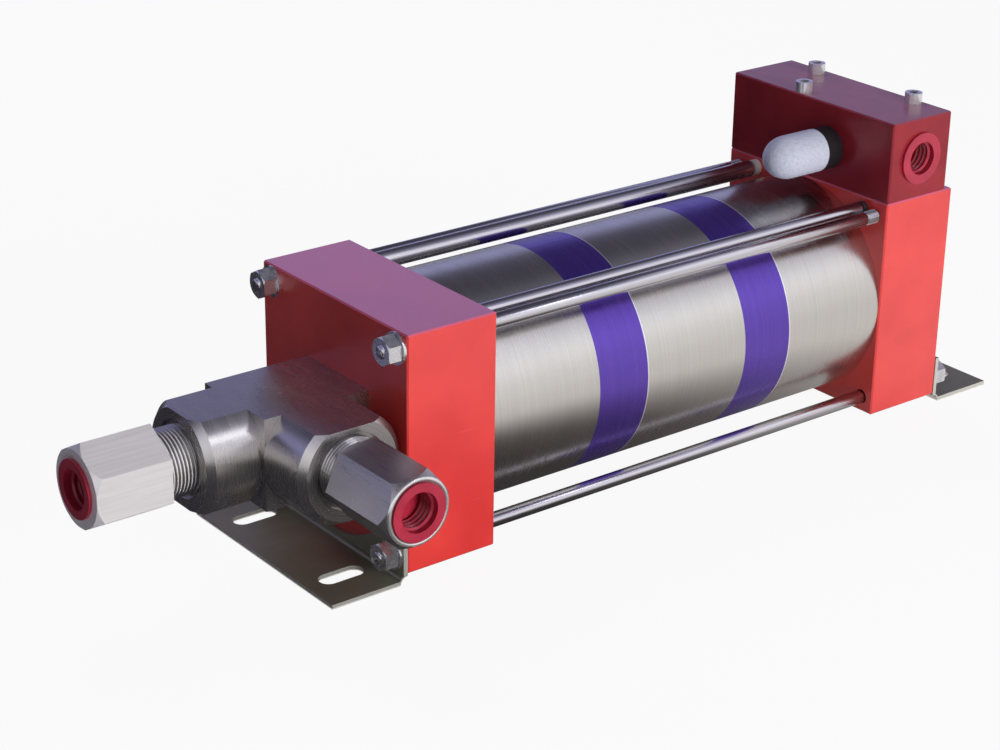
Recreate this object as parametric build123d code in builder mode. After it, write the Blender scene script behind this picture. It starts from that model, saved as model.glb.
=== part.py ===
"""Air-driven liquid pump with three drive pistons, in millimetres.

The pump axis lies along X. The high-pressure head is at -X and the air valve at +X.
The origin is on the mounting surface, at the centre of the four foot slots, with +Z up.
"""

import os
from math import cos, radians, sin, sqrt, tan

from build123d import *

# Square end caps and the stack between them
block_side = 130.0
block_edge = 0.8
front_cap_length = 55.0
rear_cap_length = 53.0
barrel_length = 70.0
barrel_inset = 1.0
barrel_wall = 4.0
separator_length = 34.0
spigot_length = 6.0
foot_drop = 5.5

# Foot brackets
sheet = 2.5
bend_radius = 2.0
foot_length = 46.0
ear_height = 28.5
slot_length = 26.0
slot_width = 11.0
slot_edge = 24.0
slot_overhang = 24.5

# Tie rods and their nuts
tie_edge = 9.0
tie_shank = 8.0
tie_thread = 7.7
tie_thread_shown = 9.0
tie_stub = 1.0
tie_grip = 30.0
tie_nut_flats = 14.0
tie_nut_height = 8.0
tie_washer_outside = 17.0
tie_washer_height = 1.6

# Air tubes along the top
transfer_tube = 10.0
transfer_end = 7.0
transfer_bore = 5.0
transfer_beside_rod = 14.0
transfer_drop = 6.0
transfer_collar = 9.4
transfer_collar_length = 5.0
pilot_tube = 8.0
pilot_end = 6.0
pilot_bore = 3.0
pilot_beside_rod = 9.5
pilot_drop = 6.5
pilot_collar = 7.4
pilot_collar_length = 3.0
collar_gap = 1.5
tube_socket = 8.0

# Drive pistons and their rod
piston_thickness = 18.0
piston_web = 9.0
piston_rim = 12.0
piston_hub = 36.0
seal_groove = 6.0
seal_depth = 5.0
guide_groove = 5.0
guide_depth = 2.0
drive_bolt = 16.0
sleeve_diameter = 25.0
rod_bush_wall = 3.0
rod_seal_wall = 4.5
rod_seal_length = 6.0
front_bush_length = 16.0
rod_nose_start = 28.0
rod_nut_flats = 24.0
rod_nut_height = 13.0
rod_bolt_stub = 2.0
nut_recess = 34.0
nut_recess_depth = 22.0

# Plunger and its packing
plunger_diameter = 16.0
plunger_reach = 45.0
plunger_neck = 10.0
plunger_neck_length = 6.5
plunger_button_length = 7.0
packing_outside = 30.0
packing_length = 12.0
packing_rings = 3
plunger_bush_length = 12.0
packing_start = 16.0

# High-pressure head
head_length = 62.0
head_height = 50.0
head_near = 32.0
head_far = 23.5
arm_radius = 30.0
arm_chamfer = 3.5
inlet_arm_end = 92.0
outlet_back = 33.0
outlet_rise = 2.0
head_spigot = 44.0
head_spigot_length = 20.0
chamber_bore = 18.0
outlet_drill = 8.0
port_thread = 36.0
port_thread_root = 34.6
port_depth = 16.0
port_relief = 41.0
port_relief_depth = 2.0

# Screwed fittings on the head, each with a check valve inside
inlet_hex_flats = 40.5
inlet_hex_length = 41.5
inlet_thread_shown = 15.0
inlet_hex_chamfer = 3.5
outlet_hex_flats = 36.0
outlet_hex_length = 47.5
outlet_thread_shown = 7.0
outlet_hex_chamfer = 4.0
outlet_hex_turn = 7.3
fitting_port = 24.0
fitting_port_depth = 22.0
fitting_drill = 10.0
valve_pocket = 20.0
valve_pocket_depth = 28.0
seat_length = 6.0
seat_bore = 9.0
poppet_diameter = 14.0
poppet_cone = 3.0
poppet_land = 3.0
poppet_stem = 5.0
poppet_lift = 2.5
check_spring_wire = 1.2
check_spring_outside = 11.0
check_spring_turns = 4.0
spring_stop_length = 4.0
stop_holes = 6
stop_hole = 3.4

# Air valve block on the rear cap
valve_depth = 47.0
valve_height = 47.0
valve_edge = 0.8
spool_bore = 24.0
spool_bore_near = 25.0
air_port_depth = 20.0
air_drill = 14.0
sleeve_wall = 4.0
spool_sleeve_far = 50.0
spool_groove = 11.0
spool_travel = 6.0
spool_ring = 1.6
belt_holes = 6
belt_hole = 4.0
cap_socket = 10.0
screw_thread = 6.0
screw_head = 10.0
screw_head_height = 6.0
screw_socket = 5.0
screw_socket_depth = 3.2
screw_grip = 12.0
screw_places = ((39.6, 36.3), (5.8, 12.5), (41.4, -40.1))

# Exhaust silencer on the front face of the valve block
silencer_y = -15.2
silencer_drop = 2.2
silencer_diameter = 24.8
silencer_length = 36.5
silencer_dome = 15.0
silencer_wall = 4.0
silencer_base_length = 11.0
silencer_stub = 12.0
silencer_stub_length = 8.0

# Transit plugs pushed into the three ports
plug_flange = 30.5
air_plug_flange = 30.0
plug_flange_height = 1.6
plug_hole = 21.0
air_plug_hole = 19.0
plug_depth = 15.0
plug_floor = 1.5

# Pilot pins in the two end caps
pin_y = -34.0
pin_z = 34.0
pin_diameter = 6.0
pin_shown = 3.0
pin_travel = 2.5
pin_collar = 9.0
pin_collar_length = 3.0
pin_tail = 4.0
pin_guide = 14.0
pin_guide_length = 26.0
pin_guide_lip = 4.0
pin_spring_wire = 0.9
pin_spring_turns = 4.0

# Clearances and rings
hole_clearance = 0.3
running_clearance = 0.05
seal_clearance = 0.03
fit_clearance = 0.02
piston_clearance = 0.4
stop_gap = 0.5
seat_gap = 0.1
spring_gap = 0.3
ring_section = 3.0
ring_depth = 2.4
nut_chamfer_angle = 30.0

# Places that follow from the sizes above
barrel_outside = block_side - 2 * barrel_inset
barrel_bore = barrel_outside - 2 * barrel_wall
tie_half = block_side / 2 - tie_edge
transfer_y = tie_half - transfer_beside_rod
transfer_z = block_side / 2 - transfer_drop
pilot_tube_y = pilot_beside_rod - tie_half
pilot_tube_z = block_side / 2 - pilot_drop
outlet_arm_end = block_side / 2
arc_radius = barrel_outside / 2
slot_spacing_y = block_side - 2 * slot_edge
stack_length = 3 * barrel_length + 2 * separator_length
caps_length = front_cap_length + stack_length + rear_cap_length
front_face = -caps_length / 2
rear_face = caps_length / 2
front_inner = front_face + front_cap_length
rear_inner = rear_face - rear_cap_length
axis_z = block_side / 2 + foot_drop
axis_point = (0.0, 0.0, axis_z)
chamber_length = barrel_length - 2 * spigot_length
piston_pitch = barrel_length + separator_length
piston_middles = [front_inner + barrel_length / 2 + step * piston_pitch for step in range(3)]
spigot_diameter = barrel_bore - 2 * running_clearance
piston_travel = (chamber_length - piston_thickness) / 2 - pin_shown - stop_gap
bush_outside = sleeve_diameter + 2 * rod_bush_wall
rod_seal_outside = sleeve_diameter + 2 * rod_seal_wall
bush_bore = sleeve_diameter + 2 * running_clearance
tie_places = [(y, z) for y in (-tie_half, tie_half) for z in (-tie_half, tie_half)]
outlet_x = front_face - outlet_back
outlet_z = axis_z + outlet_rise
valve_x = rear_inner + valve_depth / 2
valve_top = axis_z + block_side / 2 + valve_height
valve_z = valve_top - valve_height / 2
near_face = -block_side / 2
far_face = block_side / 2

pump_axis = Axis(axis_point, (1, 0, 0))
outlet_axis = Axis((outlet_x, 0, outlet_z), (0, 1, 0))
spool_axis = Axis((valve_x, 0, valve_z), (0, 1, 0))

# Turned profiles are drawn as (distance along the axis, radius)
pump_profile = Plane(origin=axis_point, x_dir=(1, 0, 0), z_dir=(0, -1, 0))
outlet_profile = Plane(origin=(outlet_x, 0, outlet_z), x_dir=(0, 1, 0), z_dir=(1, 0, 0))
spool_profile = Plane(origin=(valve_x, 0, valve_z), x_dir=(0, 1, 0), z_dir=(1, 0, 0))


def across_x(x, y=0.0, z=0.0):
    """Plane that faces +X at x, centred y and z away from the pump axis."""
    return Plane(origin=(x, y, axis_z + z), x_dir=(0, 1, 0), z_dir=(1, 0, 0))


def across_y(y, x, z):
    """Plane that faces +Y at y, with its local x along -X and its local y along Z."""
    return Plane(origin=(x, y, z), x_dir=(-1, 0, 0), z_dir=(0, 1, 0))


def outline(points, plane):
    """Closed straight-sided profile on a plane."""
    with BuildSketch(plane) as profile:
        with BuildLine():
            Polyline(*points, close=True)
        make_face()
    return profile.sketch


def ring_points(start, end, outer, inner=0.0):
    """Profile of a plain ring from start to end, given two diameters."""
    return [(start, inner / 2), (end, inner / 2), (end, outer / 2), (start, outer / 2)]


def nut_cone(start, end, flats, chamfered):
    """Turned envelope that takes the corners off a hexagon, at one end or at both."""
    corner = flats / sqrt(3) + hole_clearance
    circle = flats / 2
    drop = (corner - circle) * tan(radians(nut_chamfer_angle))
    points = [(start, 0), (start, circle), (start + drop, corner)]
    if chamfered == "both":
        points += [(end - drop, corner), (end, circle)]
    else:
        points += [(end, corner)]
    return points + [(end, 0)]


def finish(piece, node):
    """Label a finished sub-part and write its file."""
    piece.part.label = node
    export_step(piece.part, f"parts/{node}.step")


os.makedirs("parts", exist_ok=True)

# Tube places shared by the caps and the tubes: y, z, tube, end and bore diameters
air_tubes = {
    "transfer": (transfer_y, transfer_z, transfer_end),
    "pilot": (pilot_tube_y, pilot_tube_z, pilot_end),
}


def cap_block(face, length, inner, inward, upper_depth):
    """Square cap with its spigot, its ring groove, its tube sockets and its tie-rod holes.

    The lower two rods run right through, and the upper two go in by upper_depth.
    """
    with BuildPart() as cap:
        with BuildSketch(across_x(face)):
            Rectangle(block_side, block_side)
        extrude(amount=length)
        chamfer(cap.edges(), block_edge)
        spigot_end = inner + inward * spigot_length
        groove_middle = inner + inward * spigot_length / 2
        groove_floor = spigot_diameter - 2 * ring_depth
        revolve(outline(ring_points(inner, spigot_end, spigot_diameter), pump_profile), axis=pump_axis)
        groove = ring_points(groove_middle - ring_section / 2, groove_middle + ring_section / 2,
                             barrel_bore, groove_floor)
        revolve(outline(groove, pump_profile), axis=pump_axis, mode=Mode.SUBTRACT)
        for y, z in tie_places:
            threaded = z > 0 and upper_depth < length
            hole = tie_thread / 2 + fit_clearance if threaded else tie_shank / 2 + hole_clearance
            with BuildSketch(across_x(inner, y, z)):
                Circle(hole)
            extrude(amount=-inward * (upper_depth if threaded else length), mode=Mode.SUBTRACT)
        for y, z, end in air_tubes.values():
            with BuildSketch(across_x(inner, y, z)):
                Circle(end / 2 + fit_clearance)
            extrude(amount=-inward * tube_socket, mode=Mode.SUBTRACT)
        with BuildSketch(across_x(spigot_end, pin_y, pin_z)):
            Circle(pin_guide / 2 + fit_clearance)
        extrude(amount=-inward * pin_guide_length, mode=Mode.SUBTRACT)
    return cap


# Front cap, bored for the rod bush, the rod seal and the head's spigot
front_spigot_end = front_inner + spigot_length
front_seal_start = front_spigot_end - rod_seal_length
front_bush_start = front_seal_start - front_bush_length
head_socket_end = front_face + head_spigot_length
front_bores = [
    (front_face, 0),
    (front_face, head_spigot / 2 + fit_clearance),
    (head_socket_end, head_spigot / 2 + fit_clearance),
    (head_socket_end, sleeve_diameter / 2 + stop_gap),
    (front_bush_start, sleeve_diameter / 2 + stop_gap),
    (front_bush_start, bush_outside / 2 + fit_clearance),
    (front_seal_start, bush_outside / 2 + fit_clearance),
    (front_seal_start, rod_seal_outside / 2 + fit_clearance),
    (front_spigot_end, rod_seal_outside / 2 + fit_clearance),
    (front_spigot_end, 0),
]
with BuildPart() as front_cap:
    add(cap_block(front_face, front_cap_length, front_inner, 1, front_cap_length).part)
    revolve(outline(front_bores, pump_profile), axis=pump_axis, mode=Mode.SUBTRACT)
finish(front_cap, "front_cap")

# Rear cap, recessed for the rod nut and tapped on top for the valve block screws
rear_spigot_end = rear_inner - spigot_length
cap_top = axis_z + block_side / 2
with BuildPart() as rear_cap:
    add(cap_block(rear_inner, rear_cap_length, rear_inner, -1, tie_grip + stop_gap).part)
    recess = ring_points(rear_spigot_end, rear_spigot_end + nut_recess_depth, nut_recess)
    revolve(outline(recess, pump_profile), axis=pump_axis, mode=Mode.SUBTRACT)
    with BuildSketch(Plane.XY.offset(cap_top)):
        with Locations(*[(rear_inner + x, y) for x, y in screw_places]):
            Circle(screw_thread / 2 + fit_clearance)
    extrude(amount=-screw_grip, mode=Mode.SUBTRACT)
finish(rear_cap, "rear_cap")

# Three air barrels and the two coloured separators between them
barrel_starts = [front_inner + step * piston_pitch for step in range(3)]
for start, place in zip(barrel_starts, ("front", "middle", "rear")):
    with BuildPart() as barrel:
        with BuildSketch(across_x(start)):
            Circle(barrel_outside / 2)
            Circle(barrel_bore / 2, mode=Mode.SUBTRACT)
        extrude(amount=barrel_length)
    finish(barrel, f"barrel_{place}")

separator_starts = [start + barrel_length for start in barrel_starts[:2]]
for start, place in zip(separator_starts, ("front", "rear")):
    end = start + separator_length
    spigots = (start - spigot_length, end + spigot_length)
    with BuildPart() as separator:
        rim = ring_points(start, end, barrel_outside, bush_outside + 2 * fit_clearance)
        revolve(outline(rim, pump_profile), axis=pump_axis)
        plate = ring_points(*spigots, spigot_diameter, bush_outside + 2 * fit_clearance)
        revolve(outline(plate, pump_profile), axis=pump_axis)
        for middle in (start - spigot_length / 2, end + spigot_length / 2):
            groove = ring_points(middle - ring_section / 2, middle + ring_section / 2,
                                 barrel_bore, spigot_diameter - 2 * ring_depth)
            revolve(outline(groove, pump_profile), axis=pump_axis, mode=Mode.SUBTRACT)
        for first in (spigots[0], spigots[1] - rod_seal_length):
            pocket = ring_points(first, first + rod_seal_length, rod_seal_outside + 2 * fit_clearance)
            revolve(outline(pocket, pump_profile), axis=pump_axis, mode=Mode.SUBTRACT)
    finish(separator, f"separator_{place}")

# Static rings that seal each barrel on its spigots
seal_middles = [front_inner + spigot_length / 2, rear_inner - spigot_length / 2]
for start in separator_starts:
    seal_middles += [start - spigot_length / 2, start + separator_length + spigot_length / 2]
with BuildPart() as barrel_seals:
    for middle in sorted(seal_middles):
        ring_radius = ring_depth / 2
        with BuildSketch(pump_profile):
            with Locations((middle, spigot_diameter / 2 - ring_radius)):
                Ellipse(ring_section / 2 - fit_clearance, ring_radius - fit_clearance)
        revolve(axis=pump_axis)
finish(barrel_seals, "barrel_seals")

# Bushes and seals that the drive rod runs through
with BuildPart() as front_rod_bush:
    bush = ring_points(front_bush_start, front_seal_start, bush_outside, bush_bore)
    revolve(outline(bush, pump_profile), axis=pump_axis)
finish(front_rod_bush, "front_rod_bush")

with BuildPart() as separator_bushes:
    for start in separator_starts:
        first = start - spigot_length + rod_seal_length
        last = start + separator_length + spigot_length - rod_seal_length
        revolve(outline(ring_points(first, last, bush_outside, bush_bore), pump_profile), axis=pump_axis)
finish(separator_bushes, "separator_bushes")


def lip_seal(start, end, outer, inner, open_end):
    """U-shaped lip seal profile whose groove opens at open_end."""
    middle = (outer + inner) / 4
    depth = (end - start) / 2
    root = start + depth if open_end == "start" else end - depth
    mouth = start if open_end == "start" else end
    half = (outer - inner) / 2 / 5
    shut = end if open_end == "start" else start
    return [(shut, inner / 2), (shut, outer / 2), (mouth, outer / 2), (mouth, middle + half),
            (root, middle), (mouth, middle - half), (mouth, inner / 2)]


rod_seal_bore = sleeve_diameter + 2 * seal_clearance
with BuildPart() as front_rod_seal:
    lips = lip_seal(front_seal_start, front_spigot_end, rod_seal_outside, rod_seal_bore, "end")
    revolve(outline(lips, pump_profile), axis=pump_axis)
finish(front_rod_seal, "front_rod_seal")

with BuildPart() as separator_rod_seals:
    for start in separator_starts:
        first = start - spigot_length
        last = start + separator_length + spigot_length
        for lips in (lip_seal(first, first + rod_seal_length, rod_seal_outside, rod_seal_bore, "start"),
                     lip_seal(last - rod_seal_length, last, rod_seal_outside, rod_seal_bore, "end")):
            revolve(outline(lips, pump_profile), axis=pump_axis)
finish(separator_rod_seals, "separator_rod_seals")

# Drive pistons, dished on both sides, with a seal groove and a guide groove
piston_outside = barrel_bore - 2 * piston_clearance
rim_inside = piston_outside - 2 * piston_rim
seal_outside = barrel_bore - 2 * seal_clearance
seal_inside = piston_outside - 2 * seal_depth
guide_inside = piston_outside - 2 * guide_depth
groove_land = (piston_thickness - seal_groove - guide_groove) / 3
for middle, place in zip(piston_middles, ("front", "middle", "rear")):
    front = middle - piston_thickness / 2
    back = middle + piston_thickness / 2
    with BuildPart() as piston:
        disc = ring_points(front, back, piston_outside, drive_bolt + 2 * fit_clearance)
        revolve(outline(disc, pump_profile), axis=pump_axis)
        for first, last in ((front, middle - piston_web / 2), (middle + piston_web / 2, back)):
            dish = ring_points(first, last, rim_inside, piston_hub)
            revolve(outline(dish, pump_profile), axis=pump_axis, mode=Mode.SUBTRACT)
        seal_start = front + groove_land
        guide_start = seal_start + seal_groove + groove_land
        grooves = ((seal_start, seal_groove, seal_inside), (guide_start, guide_groove, guide_inside))
        for start, length, floor in grooves:
            groove = ring_points(start, start + length, barrel_bore, floor)
            revolve(outline(groove, pump_profile), axis=pump_axis, mode=Mode.SUBTRACT)
    finish(piston, f"piston_{place}")

with BuildPart() as piston_seals:
    for middle in piston_middles:
        start = middle - piston_thickness / 2 + groove_land
        lips = lip_seal(start, start + seal_groove, seal_outside, seal_inside, "start")
        revolve(outline(lips, pump_profile), axis=pump_axis)
finish(piston_seals, "piston_seals")

with BuildPart() as piston_guide_rings:
    for middle in piston_middles:
        start = middle - piston_thickness / 2 + 2 * groove_land + seal_groove
        band = ring_points(start, start + guide_groove, barrel_bore - 2 * running_clearance, guide_inside)
        revolve(outline(band, pump_profile), axis=pump_axis)
finish(piston_guide_rings, "piston_guide_rings")

# Drive bolt through the pistons, the spacer sleeves and the lock nut
nose_start = front_face + rod_nose_start
nose_end = piston_middles[0] - piston_thickness / 2
nut_start = piston_middles[2] + piston_thickness / 2
nut_end = nut_start + rod_nut_height
button_start = nose_start + plunger_neck_length
button_end = button_start + plunger_button_length
bolt_start = button_end + rod_seal_length
with BuildPart() as drive_rod:
    bolt_end = nut_end + rod_bolt_stub
    tip = rod_bolt_stub / 2
    bolt = [(bolt_start, 0), (bolt_start, drive_bolt / 2), (bolt_end - tip, drive_bolt / 2),
            (bolt_end, drive_bolt / 2 - tip), (bolt_end, 0)]
    revolve(outline(bolt, pump_profile), axis=pump_axis)
finish(drive_rod, "drive_rod")

sleeve_bore = drive_bolt + 2 * fit_clearance
for place, before, after in zip(("front", "rear"), piston_middles[:2], piston_middles[1:]):
    with BuildPart() as sleeve:
        ends = (before + piston_thickness / 2, after - piston_thickness / 2)
        revolve(outline(ring_points(*ends, sleeve_diameter, sleeve_bore), pump_profile), axis=pump_axis)
    finish(sleeve, f"rod_sleeve_{place}")

# Rod nose with a side-opening slot that holds the plunger's button
slot_clearance = hole_clearance
with BuildPart() as rod_nose:
    revolve(outline(ring_points(nose_start, nose_end, sleeve_diameter), pump_profile), axis=pump_axis)
    revolve(outline(ring_points(bolt_start, nose_end, sleeve_bore), pump_profile),
            axis=pump_axis, mode=Mode.SUBTRACT)
    slots = ((nose_start, button_start - slot_clearance, plunger_neck),
             (button_start - slot_clearance, button_end + slot_clearance, plunger_diameter))
    for first, last, width in slots:
        half = width / 2 + slot_clearance
        with BuildSketch(across_x(first)):
            with Locations((0, -sleeve_diameter / 2)):
                Rectangle(2 * half, sleeve_diameter)
            Circle(half)
        extrude(amount=last - first, mode=Mode.SUBTRACT)
finish(rod_nose, "rod_nose")

with BuildPart() as rod_nut:
    with BuildSketch(across_x(nut_start)):
        RegularPolygon(rod_nut_flats / 2, 6, major_radius=False)
        Circle(drive_bolt / 2 + fit_clearance, mode=Mode.SUBTRACT)
    extrude(amount=rod_nut_height)
    envelope = nut_cone(nut_start, nut_end, rod_nut_flats, "both")
    revolve(outline(envelope, pump_profile), axis=pump_axis, mode=Mode.INTERSECT)
finish(rod_nut, "rod_nut")

with BuildPart() as plunger:
    tip = front_face - plunger_reach
    bevel = 1.0
    body = plunger_diameter / 2
    neck = plunger_neck / 2
    steps = [(tip, 0), (tip, body - bevel), (tip + bevel, body), (nose_start - slot_clearance, body),
             (nose_start - slot_clearance, neck), (button_start, neck), (button_start, body),
             (button_end, body), (button_end, 0)]
    revolve(outline(steps, pump_profile), axis=pump_axis)
finish(plunger, "plunger")

# High-pressure head: a flat-sided block with two turned arms and a spigot into the front cap
head_front = front_face - head_length
inlet_face = front_face - inlet_arm_end
outlet_face = -outlet_arm_end
inlet_port_floor = inlet_face + port_depth
outlet_port_floor = outlet_face + port_depth
packing_floor = front_face - packing_start
bush_end = packing_floor + packing_length + plunger_bush_length
with BuildPart() as pressure_head:
    with BuildSketch(across_x(head_front)):
        with Locations(((head_far - head_near) / 2, 0)):
            Rectangle(head_near + head_far, head_height)
    extrude(amount=head_length)
    arm = [(inlet_face, 0), (inlet_face, arm_radius - arm_chamfer), (inlet_face + arm_chamfer, arm_radius),
           (head_front, arm_radius), (head_front, 0)]
    revolve(outline(arm, pump_profile), axis=pump_axis)
    arm = [(outlet_face, 0), (outlet_face, arm_radius - arm_chamfer),
           (outlet_face + arm_chamfer, arm_radius), (-head_near, arm_radius), (-head_near, 0)]
    revolve(outline(arm, outlet_profile), axis=outlet_axis)
    with BuildSketch(Plane.XY.offset(axis_z - head_height / 2)):
        with Locations((head_front, 0)):
            Rectangle(2 * head_length, 4 * outlet_arm_end)
    extrude(amount=head_height, mode=Mode.INTERSECT)
    spigot = ring_points(front_face, head_socket_end, head_spigot)
    revolve(outline(spigot, pump_profile), axis=pump_axis)
    relief_end = inlet_face + port_relief_depth
    bores = [(inlet_face, 0), (inlet_face, port_relief / 2), (relief_end, port_relief / 2),
             (relief_end, port_thread / 2 + fit_clearance),
             (inlet_port_floor, port_thread / 2 + fit_clearance), (inlet_port_floor, chamber_bore / 2),
             (packing_floor, chamber_bore / 2), (packing_floor, packing_outside / 2 + fit_clearance),
             (head_socket_end, packing_outside / 2 + fit_clearance), (head_socket_end, 0)]
    revolve(outline(bores, pump_profile), axis=pump_axis, mode=Mode.SUBTRACT)
    relief_end = outlet_face + port_relief_depth
    bores = [(outlet_face, 0), (outlet_face, port_relief / 2), (relief_end, port_relief / 2),
             (relief_end, port_thread / 2 + fit_clearance),
             (outlet_port_floor, port_thread / 2 + fit_clearance), (outlet_port_floor, outlet_drill / 2),
             (0, outlet_drill / 2), (0, 0)]
    revolve(outline(bores, outlet_profile), axis=outlet_axis, mode=Mode.SUBTRACT)
finish(pressure_head, "pressure_head")

plunger_fit = plunger_diameter + 2 * seal_clearance
with BuildPart() as plunger_packing:
    ring_length = packing_length / packing_rings
    for number in range(packing_rings):
        start = packing_floor + number * ring_length
        lips = ring_points(start, start + ring_length - fit_clearance, packing_outside, plunger_fit)
        revolve(outline(lips, pump_profile), axis=pump_axis)
finish(plunger_packing, "plunger_packing")

with BuildPart() as plunger_bush:
    bush = ring_points(packing_floor + packing_length, bush_end, packing_outside,
                       plunger_diameter + 2 * running_clearance)
    revolve(outline(bush, pump_profile), axis=pump_axis)
finish(plunger_bush, "plunger_bush")


def fitting(profile_plane, axis, hex_plane, floor, hex_start, hex_end, flats, turn, drop):
    """Hexagon fitting: threaded end in the head, port at the outer end, valve pocket at the inner.

    The thread shows as its root diameter outside the head and as its full diameter inside it.
    """
    corner = flats / sqrt(3)
    circle = flats / 2
    pocket_end = floor - valve_pocket_depth
    port_end = hex_end + fitting_port_depth
    with BuildPart() as body:
        grip = floor - port_depth + port_relief_depth
        shank = [(hex_start, 0), (hex_start, port_thread_root / 2), (grip, port_thread_root / 2),
                 (grip, port_thread / 2), (floor, port_thread / 2), (floor, 0)]
        revolve(outline(shank, profile_plane), axis=axis)
        with BuildSketch(hex_plane):
            RegularPolygon(flats / 2, 6, major_radius=False, rotation=turn)
        extrude(amount=hex_start - hex_end)
        shape = [(floor, 0), (floor, corner + 1), (hex_end + drop, corner + 1), (hex_end + drop, corner),
                 (hex_end, circle), (hex_end, 0)]
        revolve(outline(shape, profile_plane), axis=axis, mode=Mode.INTERSECT)
        bore = [(floor, 0), (floor, valve_pocket / 2 + fit_clearance),
                (pocket_end, valve_pocket / 2 + fit_clearance), (pocket_end, fitting_drill / 2),
                (port_end, fitting_drill / 2), (port_end, fitting_port / 2), (hex_end, fitting_port / 2),
                (hex_end, 0)]
        revolve(outline(bore, profile_plane), axis=axis, mode=Mode.SUBTRACT)
    return body


# Suction fitting on the -X arm and delivery fitting on the -Y arm
inlet_hex_start = inlet_face - inlet_thread_shown
inlet_hex_end = inlet_hex_start - inlet_hex_length
with BuildPart() as inlet_fitting:
    add(fitting(pump_profile, pump_axis, across_x(inlet_hex_end), inlet_port_floor, inlet_hex_start,
                inlet_hex_end, inlet_hex_flats, 30, inlet_hex_chamfer).part)
finish(inlet_fitting, "inlet_fitting")

outlet_hex_start = outlet_face - outlet_thread_shown
outlet_hex_end = outlet_hex_start - outlet_hex_length
with BuildPart() as outlet_fitting:
    hex_plane = across_y(outlet_hex_end, outlet_x, outlet_z)
    add(fitting(outlet_profile, outlet_axis, hex_plane, outlet_port_floor, outlet_hex_start,
                outlet_hex_end, outlet_hex_flats, -outlet_hex_turn, outlet_hex_chamfer).part)
finish(outlet_fitting, "outlet_fitting")


def valve_seat(start, flow):
    """Seat ring profile: its cone opens the way the liquid flows."""
    end = start + flow * seat_length
    wide = seat_bore / 2 + poppet_cone / 2
    return [(start, seat_bore / 2), (end - flow * poppet_cone / 2, seat_bore / 2), (end, wide),
            (end, valve_pocket / 2), (start, valve_pocket / 2)]


def poppet(seat_end, flow):
    """Cone-faced valve with a guide stem behind it, resting on its seat."""
    nose = seat_bore / 2 + poppet_cone / 2 - seat_gap
    tip = seat_end - flow * poppet_cone / 2
    back = seat_end + flow * (poppet_cone + poppet_land)
    stem_end = back + flow * poppet_stem_length
    spread = poppet_diameter / 2
    return [(tip, 0), (tip, nose - poppet_cone / 2), (seat_end + flow * seat_gap, nose + seat_gap),
            (seat_end + flow * seat_gap, spread), (back, spread), (back, poppet_stem / 2),
            (stem_end, poppet_stem / 2), (stem_end, 0)]


def spring_stop(start, flow):
    """Perforated guide ring profile that backs the valve spring."""
    return [(start, poppet_stem / 2 + running_clearance), (start + flow * spring_stop_length,
            poppet_stem / 2 + running_clearance), (start + flow * spring_stop_length, valve_pocket / 2),
            (start, valve_pocket / 2)]


spring_room = valve_pocket_depth - seat_length - poppet_cone - poppet_land - spring_stop_length
poppet_stem_length = spring_room + spring_stop_length - poppet_lift - hole_clearance

# Check valves: each starts at the upstream end of its pocket
inlet_pocket = inlet_port_floor - valve_pocket_depth
check_valves = {
    "inlet": (pump_profile, pump_axis, inlet_pocket, 1),
    "outlet": (outlet_profile, outlet_axis, outlet_port_floor, -1),
}
with BuildPart() as valve_seats:
    for plane, axis, start, flow in check_valves.values():
        revolve(outline(valve_seat(start, flow), plane), axis=axis)
finish(valve_seats, "valve_seats")

with BuildPart() as spring_stops:
    for plane, axis, start, flow in check_valves.values():
        stop_start = start + flow * (valve_pocket_depth - spring_stop_length)
        revolve(outline(spring_stop(stop_start, flow), plane), axis=axis)
        hole_plane = Plane(origin=plane.from_local_coords((stop_start, 0)), z_dir=axis.direction * flow)
        with BuildSketch(hole_plane):
            with PolarLocations((poppet_stem + valve_pocket) / 4, stop_holes):
                Circle(stop_hole / 2)
        extrude(amount=spring_stop_length, mode=Mode.SUBTRACT)
finish(spring_stops, "spring_stops")

for name, (plane, axis, start, flow) in check_valves.items():
    seat_end = start + flow * seat_length
    spring_start = seat_end + flow * (poppet_cone + poppet_land)
    with BuildPart() as valve:
        revolve(outline(poppet(seat_end, flow), plane), axis=axis)
    finish(valve, f"{name}_poppet")
    free = spring_room - 2 * spring_gap - check_spring_wire
    coil_start = plane.from_local_coords((spring_start + flow * (spring_gap + check_spring_wire / 2), 0))
    coil_radius = (check_spring_outside - check_spring_wire) / 2
    with BuildPart() as spring:
        with BuildLine() as coil:
            Helix(free / check_spring_turns, free, coil_radius, coil_start, axis.direction * flow)
        with BuildSketch(Plane(origin=coil.line @ 0, z_dir=coil.line % 0)):
            Circle(check_spring_wire / 2)
        sweep(is_frenet=True)
    finish(spring, f"{name}_valve_spring")

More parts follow.
